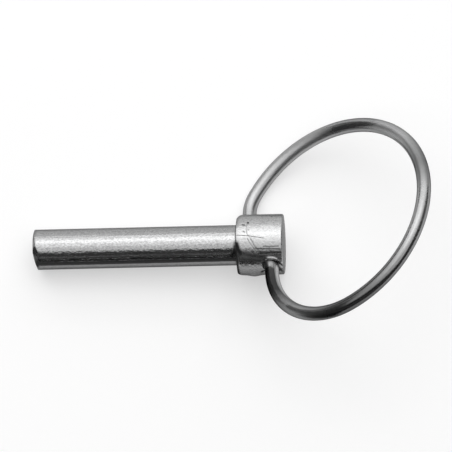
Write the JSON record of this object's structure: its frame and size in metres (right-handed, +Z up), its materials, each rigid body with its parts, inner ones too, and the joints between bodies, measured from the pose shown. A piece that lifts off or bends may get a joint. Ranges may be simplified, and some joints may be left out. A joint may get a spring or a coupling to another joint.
{
  "type": "lynch pin",
  "caption": "Headed steel lynch pin with a spring-wire pull ring that turns in a slanted cross hole through the head and closes on the shank.",
  "frame": {"origin": "on the surface that the part lies on, under the middle of its box", "axes": "+Z up from that surface; +X along the pin towards its head, seen from above; +Y to the side that the ring's low side lies on"},
  "size_m": [0.0788, 0.044, 0.0287],
  "materials": {
    "pin_steel": "bright zinc-plated steel with fine lengthwise drawing lines, small dents and scratches on the head",
    "ring_wire": "smooth plated spring-steel wire with a soft shine and a few dull rubbed patches"
  },
  "bodies": {
    "pin": {"pin_body": "pin_steel"},
    "ring": {"pull_ring": "ring_wire"}
  },
  "joints": [
    {"name": "ring_swing", "type": "hinge", "parent": "pin", "child": "ring", "pos_m": [0.00579, -0.00264, 0.00616], "axis": [0.3208, -0.8098, 0.4912], "range_deg": [-200, 137]}
  ]
}
